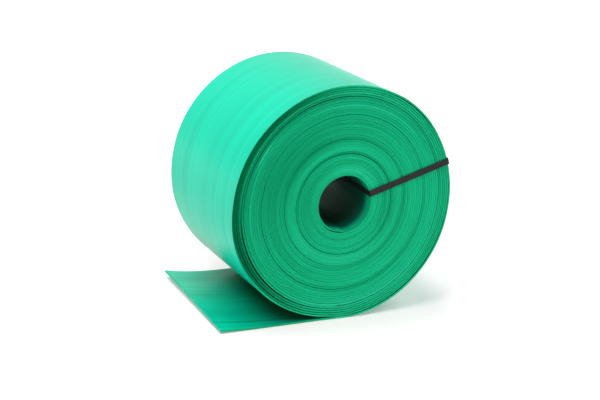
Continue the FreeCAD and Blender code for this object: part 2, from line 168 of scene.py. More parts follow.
# Bands of painted shade on the folds, two of them beside the strap: (ratio, spread, angle,
# spread, darkness)
PAINTED_SHADE_BANDS = (
    (0.550, 0.030, 135.0, 38.0, 0.50), (0.545, 0.010, 330.0, 60.0, 0.35),
    (0.430, 0.012, 120.0, 70.0, 0.40), (0.430, 0.010, 300.0, 60.0, 0.25),
    (0.740, 0.008, 330.0, 80.0, 0.30), (0.892, 0.012, 130.0, 40.0, 0.85),
    (0.720, 0.200, 155.0, 45.0, 0.42), (0.330, 0.060, 175.0, 50.0, 0.30),
    (0.860, 0.030, 40.0, 30.0, 0.15), (0.620, 0.012, 130.0, 60.0, 0.25),
    (0.675, 0.010, 75.0, 60.0, 0.20), (0.365, 0.012, 40.0, 50.0, 0.25),
    (0.440, 0.080, 352.0, 32.0, 0.30), (0.285, 0.080, 17.5, 5.0, 0.55),
    (0.620, 0.200, 17.5, 1.6, 0.35), (0.800, 0.120, 45.0, 25.0, 0.12),
    (0.893, 0.007, 40.0, 42.0, 0.55),
)
# Bands of painted highlight on the folds, listed in the same way
PAINTED_HIGHLIGHT_BANDS = (
    (0.920, 0.009, 135.0, 50.0, 0.40), (0.835, 0.008, 165.0, 25.0, 0.15),
    (0.480, 0.025, 250.0, 90.0, 0.15), (0.988, 0.007, 240.0, 24.0, 1.00),
    (0.880, 0.012, 300.0, 50.0, 0.25), (0.820, 0.010, 90.0, 45.0, 0.25),
    (0.295, 0.020, 80.0, 40.0, 0.20), (0.860, 0.006, 148.0, 6.0, 0.45),
    (0.880, 0.060, 272.0, 25.0, 0.12), (0.914, 0.007, 40.0, 36.0, 0.30),
)
# The arc of painted shade on the last loose turns' folds: the angles where it begins and ends,
# and its turns
DARK_ARC_BEGIN, DARK_ARC_END = (80.0, 135.0), (205.0, 262.0)
DARK_ARC_TURNS = (TURNS - 4.35, TURNS - 4.0)

# Painted shade on the hose's sides, from 0 to 1: between loose turns and tight ones, on the
# bore's wall inside and near its edges, on the outermost turn at its top and low down above the
# tail, (angle, spread, darkness), and on the tail
BETWEEN_SHADE = 0.8
TIGHT_SHADE = 0.5
BORE_SHADE = 0.91
BORE_EDGE_SHADE = 0.15
BORE_EDGE = 20.0 * MM
BORE_FOLD = 10.0 * MM
BORE_TURN = (0.98, 1.02)
OUTER_SHADES = ((80.0, 28.0, 0.33), (233.0, 12.0, 0.45))
OUTERMOST = (TURNS - 1.03, TURNS - 0.99)
TAIL_SHADE = 0.19
# The tail's painted shade is weaker near its back edge, as a painted sheen, and so is the
# painted
# shadow of the roll on it: (share there, and the distances from the back edge over which it
# grows to 1)
TAIL_PALING = (0.25, 0.05, 0.18)
SHADOW_PALING = (0.35, 0.02, 0.10)
SHADOW_END = (0.25, 0.75)

# Colours, among them greens for painted shade on the sides and folds and for a painted highlight
# on the folds
SIDE_GREEN = (0.0, 0.660, 0.405)
SIDE_GREEN_PALE = (0.0, 0.745, 0.485)
SIDE_GREEN_PAINTED_SHADE = (0.002, 0.072, 0.045)
FOLD_GREEN = (0.009, 0.525, 0.245)
FOLD_GREEN_DARK = (0.006, 0.400, 0.172)
FOLD_GREEN_PAINTED_SHADE = (0.0, 0.150, 0.048)
FOLD_GREEN_PAINTED_HIGHLIGHT = (0.060, 0.850, 0.570)
SHEEN_GREEN = (0.0, 1.0, 0.65)
STRAP_BLACK = (0.007, 0.006, 0.007)
STRAP_SCUFFED = (0.016, 0.013, 0.015)
SEAL_DULL = (0.26, 0.27, 0.28)
SEAL_BRIGHT = (0.46, 0.47, 0.48)
WHITE = (1.0, 1.0, 1.0)

# Noise: waves to a metre along each axis, which on the hose are across and along it, then
# detail and roughness
STREAK_NOISE = ((330.0, 1.8, 1.0), 4.0, 0.65)
BROAD_NOISE = ((22.0, 4.0, 1.0), 2.0)
BAND_NOISE = ((75.0, 1.5, 1.0), 3.0, 0.6)
TURN_NOISE = ((0.0, 2.4, 1.0), 4.0, 0.7)
LINE_NOISE = ((0.0, 3.1, 1.0), 2.0, 0.6)
GRAIN_SCALE = 900.0
SCUFF_NOISE = ((90.0, 500.0, 300.0), 4.0)
LATTICE_SCALE = 780.0
DRAWN_NOISE = ((2200.0, 60.0, 2200.0), 2.0)
SPANGLE_SCALE = 420.0
MOTTLE_SCALE = 3.0

# The tail's crease, a line of painted shade: its distance from the front edge at the roll, how
# much that grows towards the open end, and its half width
CREASE_START = 4.0 * MM
CREASE_RUN = 28.0 * MM
CREASE_WIDTH = 4.0 * MM

# Light: each softbox's name, place, side and power, the point they aim at, the room in front of
# the object and behind it, and the sweep's size, its glow near the object and how far that goes
SOFTBOXES = (
    ("overhead", (-0.4, 0.5, 2.9), 1.3, 50.0),
    ("upper_left", (-1.4, -0.9, 2.2), 1.1, 33.0),
    ("upper_right", (1.2, -1.2, 2.3), 1.1, 28.0),
    ("low_front", (1.2, -2.2, 0.4), 0.8, 8.0),
)
LIGHT_AIM = (0.0, 0.0, 0.1)
ROOM_FILL = 0.02
SWEEP_BEHIND = 0.55
ROOM_CHANGE = (-0.1, 0.7)
SWEEP_REACH = 30.0
SWEEP_GLOW = 0.24
SWEEP_TINT = (1.0, 0.70, 0.80)
SWEEP_FAR = (0.6, 2.2)

# The camera, from the photograph's vanishing lines, with lengths in the roll's mean radii
ROLL_MIDDLE = (1.8 * MM, 0.0, 174.0 * MM)
ROLL_MEAN_RADIUS = 173.6 * MM
CAMERA_AZIMUTH = math.radians(-25.98)
CAMERA_ELEVATION = math.radians(16.52)
CAMERA_ROLL = math.radians(3.34)
CAMERA_DISTANCE = 12.48
CAMERA_SIDE = -0.072
CAMERA_RISE = -0.160
CAMERA_LENS = 86.95
SENSOR_WIDTH = 36.0


def smooth_step(low, high, value):
    share = np.clip((np.asarray(value) - low) / (high - low), 0.0, 1.0)
    return share * share * (3.0 - 2.0 * share)


def rise(least, low, high, value):
    """From the least share to 1, as the value goes from low to high."""
    return least + (1.0 - least) * smooth_step(low, high, value)


def bell(distance, spread):
    return np.exp(-0.5 * (distance / spread) ** 2)


class Wander:
    """A smooth unevenness from a few sine waves with seeded phases, between -1 and 1."""

    def __init__(self, seed, periods):
        draw = np.random.default_rng(seed)
        self.periods = np.array(periods) * draw.uniform(0.85, 1.15, len(periods))
        self.phases = draw.uniform(0.0, 2.0 * math.pi, len(periods))
        self.sizes = draw.uniform(0.6, 1.0, len(periods))
        self.sizes /= self.sizes.sum()

    def __call__(self, value):
        waves = np.sin(2.0 * math.pi * np.asarray(value)[..., None] / self.periods + self.phases)
        return (waves * self.sizes).sum(axis=-1)


# The spiral


def looseness(turns):
    """How loose the winding is, from 0 in the tight inner turns to 1 in the outer ones."""
    start = TURNS - LOOSE_TURNS
    return smooth_step(start - LOOSENING, start + LOOSENING, turns)


def wall(turns):
    return TIGHT_WALL + (LOOSE_WALL - TIGHT_WALL) * looseness(turns)


def radius_table():
    """Radius of the hose's middle line at every step of the turns: a steady growth with extra
    air at the slack turns, and loose turns that each lie on the one beneath."""
    turns = np.linspace(0.0, TURNS, TURNS * TABLE_STEPS + 1)
    tight = (TURNS - LOOSE_TURNS) * TABLE_STEPS
    tight_turns = turns[:tight + 1]
    first = BORE_START + TIGHT_WALL / 2
    last = RIM_RADIUS + CENTRE_RISE - LOOSE_WALL / 2
    numbers, air = zip(*LOOSE_AIR)
    loose_air = np.interp(turns, numbers, air) * MM
    ends = turns[tight::TABLE_STEPS][1:]
    walls_total = sum(wall(ends) + wall(ends - 1.0)) / 2
    tight_radius = last - sum(loose_air[tight::TABLE_STEPS][1:]) - walls_total

    slack_total = sum(slack for _, slack in SLACK_TURNS) * MM
    rate = np.full(tight + 1, (tight_radius - first - slack_total) / (TURNS - LOOSE_TURNS))
    for ratio, slack in SLACK_TURNS:
        middle = TURNS * (ratio * RIM_RADIUS - first) / (last - first)
        bump = bell(tight_turns - middle, SLACK_SPREAD)
        rate += slack * MM * bump / (bump.sum() / TABLE_STEPS)
    growth = np.cumsum((rate[1:] + rate[:-1]) / 2) / TABLE_STEPS
    radius = np.empty(len(turns))
    radius[:tight + 1] = first + np.concatenate(([0.0], growth))
    radius[:tight + 1] += (tight_radius - radius[tight]) * tight_turns / turns[tight]

    for number in range(tight + 1, len(turns)):
        under = number - TABLE_STEPS
        walls = (wall(turns[number]) + wall(turns[under])) / 2
        radius[number] = radius[under] + walls + loose_air[number]
    return turns, radius


TURN_TABLE, RADIUS_TABLE = radius_table()


def roll_angle(turns):
    return -math.pi / 2 - 2.0 * math.pi * turns


def degrees_round(turns):
    return np.degrees(roll_angle(turns)) % 360.0


def wound_line(turns):
    """Places, outward directions and radii of the middle line, which is soft at the floor."""
    angle = roll_angle(turns)
    radius = np.interp(turns, TURN_TABLE, RADIUS_TABLE)
    outward = np.stack([np.cos(angle), np.sin(angle)], axis=1)
    place = SPIRAL_CENTRE + radius[:, None] * outward
    above = place[:, 1] - LOOSE_WALL / 2
    place[:, 1] = LOOSE_WALL / 2 + (above + np.sqrt(above**2 + FOOT_SOFTNESS**2)) / 2
    return place, outward, radius


def ring_turns():
    """Turn numbers of the coarse rings and of the fine ones, close together at the cut end."""
    switch = TURNS - FINE_TURNS
    coarse = np.linspace(0.0, switch, int(switch * COARSE_RINGS) + 1)
    coarse = np.sort(np.concatenate([coarse, CUT_END_RINGS]))
    fine = np.linspace(switch, TURNS, int(FINE_TURNS * FINE_RINGS) + 1)
    return coarse[:-1], fine


# The section


def fold_points(steps, depth, fullness):
    """The section's fold, without its ends: distance in from the edge, and height in shares of
    half the wall."""
    turn = np.linspace(-math.pi / 2, math.pi / 2, steps + 1)[1:-1]
    inward = depth * (1.0 - np.abs(np.cos(turn)) ** fullness)
    return inward, np.sign(turn) * np.abs(np.sin(turn)) ** fullness


def section(side, inward, fold_steps, fold):
    """The points round a section: the outer side from front to back, the back fold, the inner
    side and the front fold. Each has its side, -1 at the front edge, 1 at the back edge and 0
    in the middle, its distance in from that edge, and its height in shares of half the wall."""
    depth, fullness = fold
    fold_inward, fold_height = fold_points(fold_steps, depth, fullness)
    inward = np.maximum(inward, depth)
    ones, folds = np.ones(len(side)), np.ones(len(fold_inward))
    return (
        np.concatenate([side, folds, side[::-1], -folds]),
        np.concatenate([inward, fold_inward, inward[::-1], fold_inward]),
        np.concatenate([ones, fold_height[::-1], -ones, fold_height]),
    )


def coarse_section(fold):
    near = np.array(COARSE_STOPS)
    inward = np.concatenate([near, [HALF_WIDTH], near[::-1]])
    side = np.array([-1.0] * len(near) + [0.0] + [1.0] * len(near))
    return section(side, inward, COARSE_FOLD, fold)


def fine_section(fold):
    """The section of the fine rings, whose points crowd towards the edges."""
    share = np.linspace(0.0, 1.0, FINE_SIDE + 1)
    eased = share - FINE_CROWDING * np.sin(2.0 * math.pi * share) / (2.0 * math.pi)
    across = 2.0 * HALF_WIDTH * eased
    side = np.sign(np.round(share - 0.5, 6))
    inward = np.where(side > 0, 2.0 * HALF_WIDTH - across, across)
    return section(side, inward, FINE_FOLD, fold)


def distance_in(outline, edge):
    """Distance of each section point from the front edge, -1, or from the back edge, 1."""
    side, inward, _ = outline
    across = np.where(side == edge, inward, 2.0 * HALF_WIDTH - inward)
    return np.where(side == 0, HALF_WIDTH, across)


def edge_recess(turns, radius, which):
    """How far the hose's edge stands back from the roll's flat face."""
    drift = Wander(EDGE_SEEDS[which], EDGE_PERIODS)(turns)
    recess = EDGE_RECESS + EDGE_WANDER * (1.0 + drift)
    for ratio, depth, spread in SUNK_TURNS:
        recess += depth * MM * bell(radius / RIM_RADIUS - ratio, spread)
    if which == "front":
        outer = np.clip((turns - (TURNS - LOOSE_TURNS)) / LOOSE_TURNS, 0.0, 1.0) ** SINK_POWER
        for middle, spread, depth in LOOSE_SINK:
            recess += depth * MM * outer * bell(degrees_round(turns) - middle, spread)
    return recess


def both_recesses(turns, radius):
    return [edge_recess(turns, radius, which) for which in ("front", "back")]


def section_rows(outline, recess_front, recess_back):
    """Y of each section point, one row per ring."""
    side, inward, _ = outline
    share = 1.0 - inward[None, :] / HALF_WIDTH
    front = -HALF_WIDTH * share + recess_front[:, None] * share
    back = HALF_WIDTH * share - recess_back[:, None] * share
    return np.where(side[None, :] < 0, front, np.where(side[None, :] > 0, back, 0.0))


# The points of the hose


def surface_waves(turns, across):
    """Shallow unevenness of the outermost turn, none where the strap lies or on the floor."""
    along_waves = Wander(*WAVES_ALONG)(turns)[:, None]
    across_waves = Wander(*WAVES_ACROSS)(across + WAVE_DRIFT * along_waves)
    shown = smooth_step(*WAVES_BEGIN, turns) * (1.0 - smooth_step(*WAVES_END, turns))
    shown = shown * smooth_step(*STRAP_CALM, np.abs(turns - STRAP_TURN))
    return WAVE_HEIGHT * across_waves * shown[:, None]


def wound_points(turns, make_section):
    """Points of the wound rings, whose folds change from tight to loose."""
    place, outward, radius = wound_line(turns)
    recess = both_recesses(turns, radius)
    loose = looseness(turns)[:, None]
    tight_section, loose_section = make_section(TIGHT_FOLD), make_section(LOOSE_FOLD)
    across = (1.0 - loose) * section_rows(tight_section, *recess)
    across += loose * section_rows(loose_section, *recess)
    height = (1.0 - loose) * tight_section[2] + loose * loose_section[2]
    height = -1.0 + (1.0 + height) * rise(*INNER_END, turns)[:, None]
    height = height * wall(turns)[:, None] / 2 + surface_waves(turns, across)
    x, z = (place[:, None, axis] + outward[:, None, axis] * height for axis in (0, 1))
    return np.stack([x, across, z], axis=-1)


def tail_surface(share, across, heights):
    """Lays rows of section points along the tail: flat, swerving to the front, and curling up
    towards the end."""
    back = (across + HALF_WIDTH) / (2.0 * HALF_WIDTH)
    end = TAIL_FRONT_END + (TAIL_BACK_END - TAIL_FRONT_END) * back
    backwards = smooth_step(*TAIL_LIFT_RANGE, back)
    lift = TAIL_FRONT_LIFT + (TAIL_BACK_LIFT - TAIL_FRONT_LIFT) * backwards
    run = share[:, None] * (end + CENTRE_ASIDE)
    curl_start = TAIL_FLAT - TAIL_BACK_SOONER * back
    beyond = np.clip((run - curl_start) / (end - curl_start), 0.0, None)
    slope = CURL_POWER * lift * beyond ** (CURL_POWER - 1.0) / (end - curl_start)
    tilt = np.arctan(slope)
    x = CENTRE_ASIDE - run - np.sin(tilt) * heights
    y = across - TAIL_SWERVE * share[:, None] ** SWERVE_POWER
    z = LOOSE_WALL / 2 + lift * beyond**CURL_POWER - np.cos(tilt) * heights
    return np.stack([x, y, z], axis=-1)


def tail_points():
    """Points of the tail's rings, and of the slit's rings from the open end inwards."""
    share = np.linspace(0.0, 1.0, TAIL_RINGS + 1)[1:]
    share = np.sort(np.concatenate([share, 1.0 - LIP_RINGS / TAIL_FRONT_END]))
    outline = fine_section(LOOSE_FOLD)
    side, inward, height = outline
    ones = np.ones(len(share))
    drift = TAIL_WANDER * Wander(*TAIL_WAVES)(share * TAIL_FRONT_END)
    drift *= smooth_step(0.0, 0.4, share)
    recess = [edge + drift for edge in both_recesses(TURNS * ones, RIM_RADIUS * ones)]
    outer = tail_surface(share, section_rows(outline, *recess), height * LOOSE_WALL / 2)

    narrowed = inward * (1.0 - MOUTH_FOLD / HALF_WIDTH) + MOUTH_FOLD
    slit = (side, np.where(side == 0, inward, narrowed), height)
    into = np.linspace(0.0, 1.0, MOUTH_RINGS)
    slit_share = 1.0 - MOUTH_DEPTH / TAIL_FRONT_END * into**MOUTH_CROWDING
    last_recess = [np.full(MOUTH_RINGS, edge[-1]) for edge in recess]
    across = section_rows(slit, *last_recess)
    parting = 1.0 + MOUTH_PARTING * Wander(*MOUTH_WAVES)(across)
    closing = 1.0 - MOUTH_CLOSING * smooth_step(0.3, 1.0, into)[:, None]
    inner = tail_surface(slit_share, across, height * MOUTH_GAP / 2 * parting * closing)
    return outer, inner


# The mesh of the hose


def ring_faces(first, count, rings):
    """Quads between successive rings of the same number of points."""
    ring = np.arange(rings - 1)[:, None] * count + first
    point = np.arange(count)[None, :]
    beside = (point + 1) % count
    corners = [ring + point, ring + point + count, ring + beside + count, ring + beside]
    return np.stack(corners, axis=-1).reshape(-1, 4).tolist()


def joining_faces(coarse_first, fine_first):
    """Faces between the last coarse ring and the first fine one."""
    runs = ((COARSE_SIDE, FINE_SIDE), (COARSE_FOLD, FINE_FOLD)) * 2
    faces = []
    coarse, fine = 0, 0
    coarse_count = sum(few for few, _ in runs)
    fine_count = sum(many for _, many in runs)
    for few, many in runs:
        each = many // few
        for _ in range(few):
            chain = [fine_first + (fine + step) % fine_count for step in range(each + 1)]
            beside = coarse_first + (coarse + 1) % coarse_count
            faces.append([coarse_first + coarse, *chain, beside])
            coarse += 1
            fine += each
    return faces


def new_mesh_object(name, points, faces):
    mesh = bpy.data.meshes.new(name)
    mesh.from_pydata(points, [], faces)
    mesh.validate()
    piece = bpy.data.objects.new(name, mesh)
    bpy.context.scene.collection.objects.link(piece)
    return piece


def hose_mesh(coarse, fine):
    """The mesh through the coarse rings and the fine ones, closed at both ends."""
    coarse_rings, coarse_count, _ = coarse.shape
    fine_rings, fine_count, _ = fine.shape
    fine_first = coarse_rings * coarse_count
    last_ring = fine_first + (fine_rings - 1) * fine_count
    faces = ring_faces(0, coarse_count, coarse_rings)
    faces += joining_faces(fine_first - coarse_count, fine_first)
    faces += ring_faces(fine_first, fine_count, fine_rings)
    faces.append(list(range(coarse_count)))
    faces.append([last_ring + number for number in reversed(range(fine_count))])
    points = np.concatenate([coarse.reshape(-1, 3), fine.reshape(-1, 3)])
    piece = new_mesh_object("wound_hose", points.tolist(), faces)
    piece.data.shade_smooth()
    piece.data.set_sharp_from_angle(angle=SHARP_ANGLE)
    return piece


def add_map(piece, name, *parts):
    """A map with two values for each point, in parts that follow the order of the points."""
    values = np.concatenate([part.reshape(-1, 2) for part in parts])
    loops = np.empty(len(piece.data.loops), dtype=np.int32)
    piece.data.loops.foreach_get("vertex_index", loops)
    layer = piece.data.uv_layers.new(name=name)
    layer.data.foreach_set("uv", values[loops].ravel())


def make_hose(material):
    """The hose, with its maps: where each point is across the hose and along it, its painted
    shade and highlight, whether it is on a fold, and where it is on the tail."""
    coarse_turns, fine_turns = ring_turns()
    coarse = wound_points(coarse_turns, coarse_section)
    tail, mouth = tail_points()
    fine = np.concatenate([wound_points(fine_turns, fine_section), tail, mouth])
    piece = hose_mesh(coarse, fine)
    piece.data.materials.append(material)

    along = hose_lengths(coarse, fine)
    add_map(
        piece, "hose_map",
        paired(coarse[..., 1], along[:len(coarse)]), paired(fine[..., 1], along[len(coarse):]),
    )
    # painted shade of the sides and painted shade or highlight of the folds
    add_map(
        piece, "shade_map",
        coarse_shades(coarse_turns), fine_shades(fine_turns, len(tail), len(mouth)),
    )
    bore_rings = int((coarse_turns < 1.0).sum())
    add_map(
        piece, "fold_map",
        fold_marks(coarse_section(TIGHT_FOLD), bore_rings, len(coarse) - bore_rings),
        fold_marks(fine_section(LOOSE_FOLD), 0, len(fine) - len(mouth) + 1, len(mouth) - 1),
    )
    on_roll = np.zeros((coarse.shape[0], coarse.shape[1], 2))
    add_map(piece, "tail_map", on_roll, tail_places(len(fine_turns), len(tail), len(mouth)))
    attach(piece, "root")
    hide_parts("hose", "inner_turns")


# The hose's maps


def paired(rows, per_ring):
    """Each point's own value beside the value of its ring."""
    return np.stack([rows, np.broadcast_to(per_ring[:, None], rows.shape)], axis=-1)


def hose_lengths(coarse, fine):
    """Length of hose up to each ring. The slit's rings have that of the open end."""
    middle = np.concatenate([coarse.mean(axis=1), fine.mean(axis=1)])
    steps = np.linalg.norm(np.diff(middle, axis=0), axis=1)
    along = np.concatenate([[0.0], np.cumsum(steps)])
    along[-MOUTH_RINGS:] = along[-MOUTH_RINGS - 1]
    return along


def banded(turns, bands):
    """The joint strength of bands round the roll's front, from 0 to 1."""
    degrees = degrees_round(turns)
    ratios = np.interp(turns, TURN_TABLE, RADIUS_TABLE) / RIM_RADIUS
    strength = np.zeros(len(turns))
    for ratio, spread, angle, breadth, most in bands:
        turned = (degrees - angle + 180.0) % 360.0 - 180.0
        band = bell(ratios - ratio, spread) * bell(turned, breadth)
        strength = strength + (1.0 - strength) * most * band
    return strength


def fold_shade(turns):
    """The folds' painted shade and highlight: 0.5 as the hose is, 1 darkest painted shade and 0
    brightest painted highlight.
    """
    degrees = degrees_round(turns)
    arc = smooth_step(*DARK_ARC_BEGIN, degrees) * (1.0 - smooth_step(*DARK_ARC_END, degrees))
    arc *= smooth_step(*DARK_ARC_TURNS, turns)
    # painted shade from the arc and bands, lifted by the painted highlight bands
    dark = arc + (1.0 - arc) * banded(turns, PAINTED_SHADE_BANDS)
    light = banded(turns, PAINTED_HIGHLIGHT_BANDS)
    return 0.5 + 0.5 * dark * (1.0 - light) - 0.5 * light


def coarse_shades(turns):
    """For each point of the coarse rings, its side's painted shade and its fold's painted shade
    or highlight. The sides between the turns carry painted shade, and so does the bore's wall
    away from its edges."""
    _, inward, height = coarse_section(TIGHT_FOLD)
    in_bore = np.outer(1.0 - smooth_step(*BORE_TURN, turns), height == -1.0)
    # painted shade between the turns and deep in the bore's wall, less near its edges
    between = (TIGHT_SHADE + (BETWEEN_SHADE - TIGHT_SHADE) * looseness(turns))[:, None]
    bore = np.where(inward > BORE_EDGE, BORE_SHADE, BORE_EDGE_SHADE)
    return paired(between + in_bore * (bore - between), fold_shade(turns))


def fine_shades(turns, tail_rings, mouth_rings):
    """For each point of the fine rings, its side's painted shade and its fold's painted shade or
    highlight. Only the outermost turn's outer side and the tail carry less painted shade, and
    the slit is painted dark behind its lips."""
    outline = fine_section(LOOSE_FOLD)
    height = outline[2]
    degrees = degrees_round(turns)
    # painted shade on the outermost turn at its top and low down above the tail
    outer = sum(most * bell(degrees - middle, spread) for middle, spread, most in OUTER_SHADES)
    outer = BETWEEN_SHADE + (outer - BETWEEN_SHADE) * smooth_step(*OUTERMOST, turns)
    wound = np.where(height[None, :] > -1.0, outer[:, None], BETWEEN_SHADE)
    tail = tail_shades(distance_in(outline, 1), np.linspace(0.0, 1.0, tail_rings))
    # the slit is painted dark behind its lips, as shade
    slit = np.where(np.arange(mouth_rings) < 1, 0.0, 1.0)
    sides = np.concatenate([wound, tail, np.repeat(slit[:, None], len(height), axis=1)])
    fold = np.concatenate([fold_shade(turns), np.full(tail_rings, 0.5), 0.5 + 0.5 * slit])
    return paired(sides, fold)


def tail_shades(from_back, along):
    """The tail's painted shade, with the roll's painted shadow: most near the roll, and less at
    the back edge.
    """
    open_tail = TAIL_SHADE * rise(*TAIL_PALING, from_back)[None, :]
    shadow = (1.0 - smooth_step(*SHADOW_END, along))[:, None]
    shadow = shadow * rise(*SHADOW_PALING, from_back)[None, :]
    return open_tail + (BETWEEN_SHADE - open_tail) * shadow


def fold_marks(outline, bore_rings, rings, inside_rings=0):
    """For each point of the rings, 1 on the folds and 0 on the sides, and its place across the
    wall, from 0 to 1. The edges of the bore's wall and the slit's inside count as folds."""
    _, inward, height = outline
    marks = np.tile((np.abs(height) < 1.0).astype(float), (bore_rings + rings + inside_rings, 1))
    marks[:bore_rings, inward < BORE_FOLD] = 1.0
    marks[bore_rings + rings:] = 1.0
    return np.stack([marks, np.tile(0.5 + 0.5 * height, (len(marks), 1))], axis=-1)


def tail_places(wound_rings, tail_rings, mouth_rings):
    """For each point of the fine rings, its distance in from the front edge, and its share of
    the tail's length, 0 on the roll."""
    tail = np.linspace(0.0, 1.0, tail_rings)
    share = np.concatenate([np.zeros(wound_rings), tail, np.ones(mouth_rings)])
    from_front = distance_in(fine_section(LOOSE_FOLD), -1)
    return paired(np.tile(from_front, (len(share), 1)), share)


# Materials


class Nodes:
    """Adds nodes to a tree. A value for an input is an output to join to it, or a number or a
    colour. All methods but add and feed give back an output."""

    def __init__(self, tree):
        self.tree = tree

    def feed(self, node, values):
        """Gives a node's inputs, by name or number, their values."""
        for key, value in values.items():
            socket = node.inputs[key]
            if isinstance(value, bpy.types.NodeSocket):
                self.tree.links.new(value, socket)
            elif socket.type == "RGBA":
                socket.default_value = (*value, 1.0)
            else:
                socket.default_value = value

    def add(self, kind, values=None, **settings):
        node = self.tree.nodes.new(kind)
        for name, setting in settings.items():
            setattr(node, name, setting)
        self.feed(node, values or {})
        return node

    def object_place(self):
        return self.add("ShaderNodeTexCoord").outputs["Object"]

    def mesh_map(self, name):
        return self.add("ShaderNodeUVMap", uv_map=name).outputs["UV"]

    def parts(self, vector):
        """The first two parts of a vector."""
        outputs = self.add("ShaderNodeSeparateXYZ", {"Vector": vector}).outputs
        return outputs["X"], outputs["Y"]

    def noise(self, place, stretch=(1.0, 1.0, 1.0), detail=2.0, roughness=0.5, scale=1.0):
        """Noise over coordinates stretched per axis."""
        mapping = self.add("ShaderNodeMapping", {"Vector": place, "Scale": stretch})
        values = {"Scale": scale, "Detail": detail, "Roughness": roughness}
        noise = self.add("ShaderNodeTexNoise", {"Vector": mapping.outputs["Vector"], **values})
        return noise.outputs["Fac"]

    def ramp(self, source, *stops):
        """A colour ramp between two stops of (position, grey level or colour)."""
        node = self.add("ShaderNodeValToRGB", {"Fac": source})
        for element, (position, colour) in zip(node.color_ramp.elements, stops):
            element.position = position
            element.color = (*(colour if isinstance(colour, tuple) else (colour,) * 3), 1.0)
        return node.outputs["Color"]

    def blend(self, share, first, second, mode="MIX"):
        """Mixes two colours by a share."""
        values = {0: share, 6: first, 7: second}
        return self.add("ShaderNodeMix", values, data_type="RGBA", blend_type=mode).outputs[2]

    def calculate(self, operation, *values):
        node = self.add("ShaderNodeMath", dict(enumerate(values)), operation=operation)
        return node.outputs[0]

    def map_range(self, value, old, new, interpolation="LINEAR"):
        """Brings a value from an old range, (low, high), into a new one."""
        names = ("Value", "From Min", "From Max", "To Min", "To Max")
        values = dict(zip(names, (value, *old, *new)))
        node = self.add("ShaderNodeMapRange", values, interpolation_type=interpolation)
        return node.outputs["Result"]

    def bump(self, height, strength, distance):
        values = {"Height": height, "Strength": strength, "Distance": distance}
        return self.add("ShaderNodeBump", values).outputs["Normal"]


def new_material(name):
    """A new material, its shader and its nodes."""
    material = bpy.data.materials.new(name)
    material.use_nodes = True
    tree = material.node_tree
    return material, tree.nodes["Principled BSDF"], Nodes(tree)


def fold_colour(nodes, hose_map, shade, wall_place):
    """The folds' green. Each turn has its own tone, which changes slowly along the hose, and the
    map's painted highlight and painted shade lighten or darken it. Fine lines of painted shade
    lie between turns, strong in some places and missing in others, and along the middle of the
    folds where the painted shade is dark."""
    turn_shade = nodes.ramp(nodes.noise(hose_map, *TURN_NOISE), (0.36, 1.0), (0.62, 0.0))
    fold = nodes.blend(turn_shade, FOLD_GREEN, FOLD_GREEN_DARK)
    dark = nodes.ramp(shade, (0.5, 0.0), (1.0, 1.0))
    light = nodes.ramp(shade, (0.0, 1.0), (0.5, 0.0))
    # painted highlights on the folds
    fold = nodes.blend(light, fold, FOLD_GREEN_PAINTED_HIGHLIGHT)

    # fine lines of painted shade between the turns and along the folds' middle
    signed = nodes.calculate("MULTIPLY_ADD", wall_place, 2.0, -1.0)
    off_centre = nodes.calculate("ABSOLUTE", signed)
    at_edge = nodes.ramp(off_centre, (0.50, 0.0), (0.95, 1.0))
    line_shade = nodes.ramp(nodes.noise(hose_map, *LINE_NOISE), (0.52, 0.0), (0.70, 0.65))
    lines = nodes.calculate("MULTIPLY", at_edge, line_shade)
    middle = nodes.calculate("MULTIPLY", nodes.ramp(off_centre, (0.0, 1.0), (0.4, 0.0)), dark)
    dark = nodes.calculate("MAXIMUM", dark, lines)
    fold = nodes.blend(dark, fold, FOLD_GREEN_PAINTED_SHADE)
    return nodes.blend(nodes.calculate("MULTIPLY", middle, 0.7), fold, SIDE_GREEN_PAINTED_SHADE)


def crease_painted_shade(nodes, inward, along):
    """The tail's crease, drawn as painted shade: a dark line that runs out from its front edge
    towards the open end.
    """
    crease_place = nodes.calculate("MULTIPLY_ADD", along, CREASE_RUN, CREASE_START)
    aside = nodes.calculate("ABSOLUTE", nodes.calculate("SUBTRACT", inward, crease_place))
    aside = nodes.calculate("DIVIDE", aside, CREASE_WIDTH)
    line = nodes.ramp(aside, (0.0, 1.0), (1.0, 0.0))
    return nodes.calculate("MULTIPLY", line, nodes.ramp(along, (0.25, 0.0), (0.70, 0.65)))


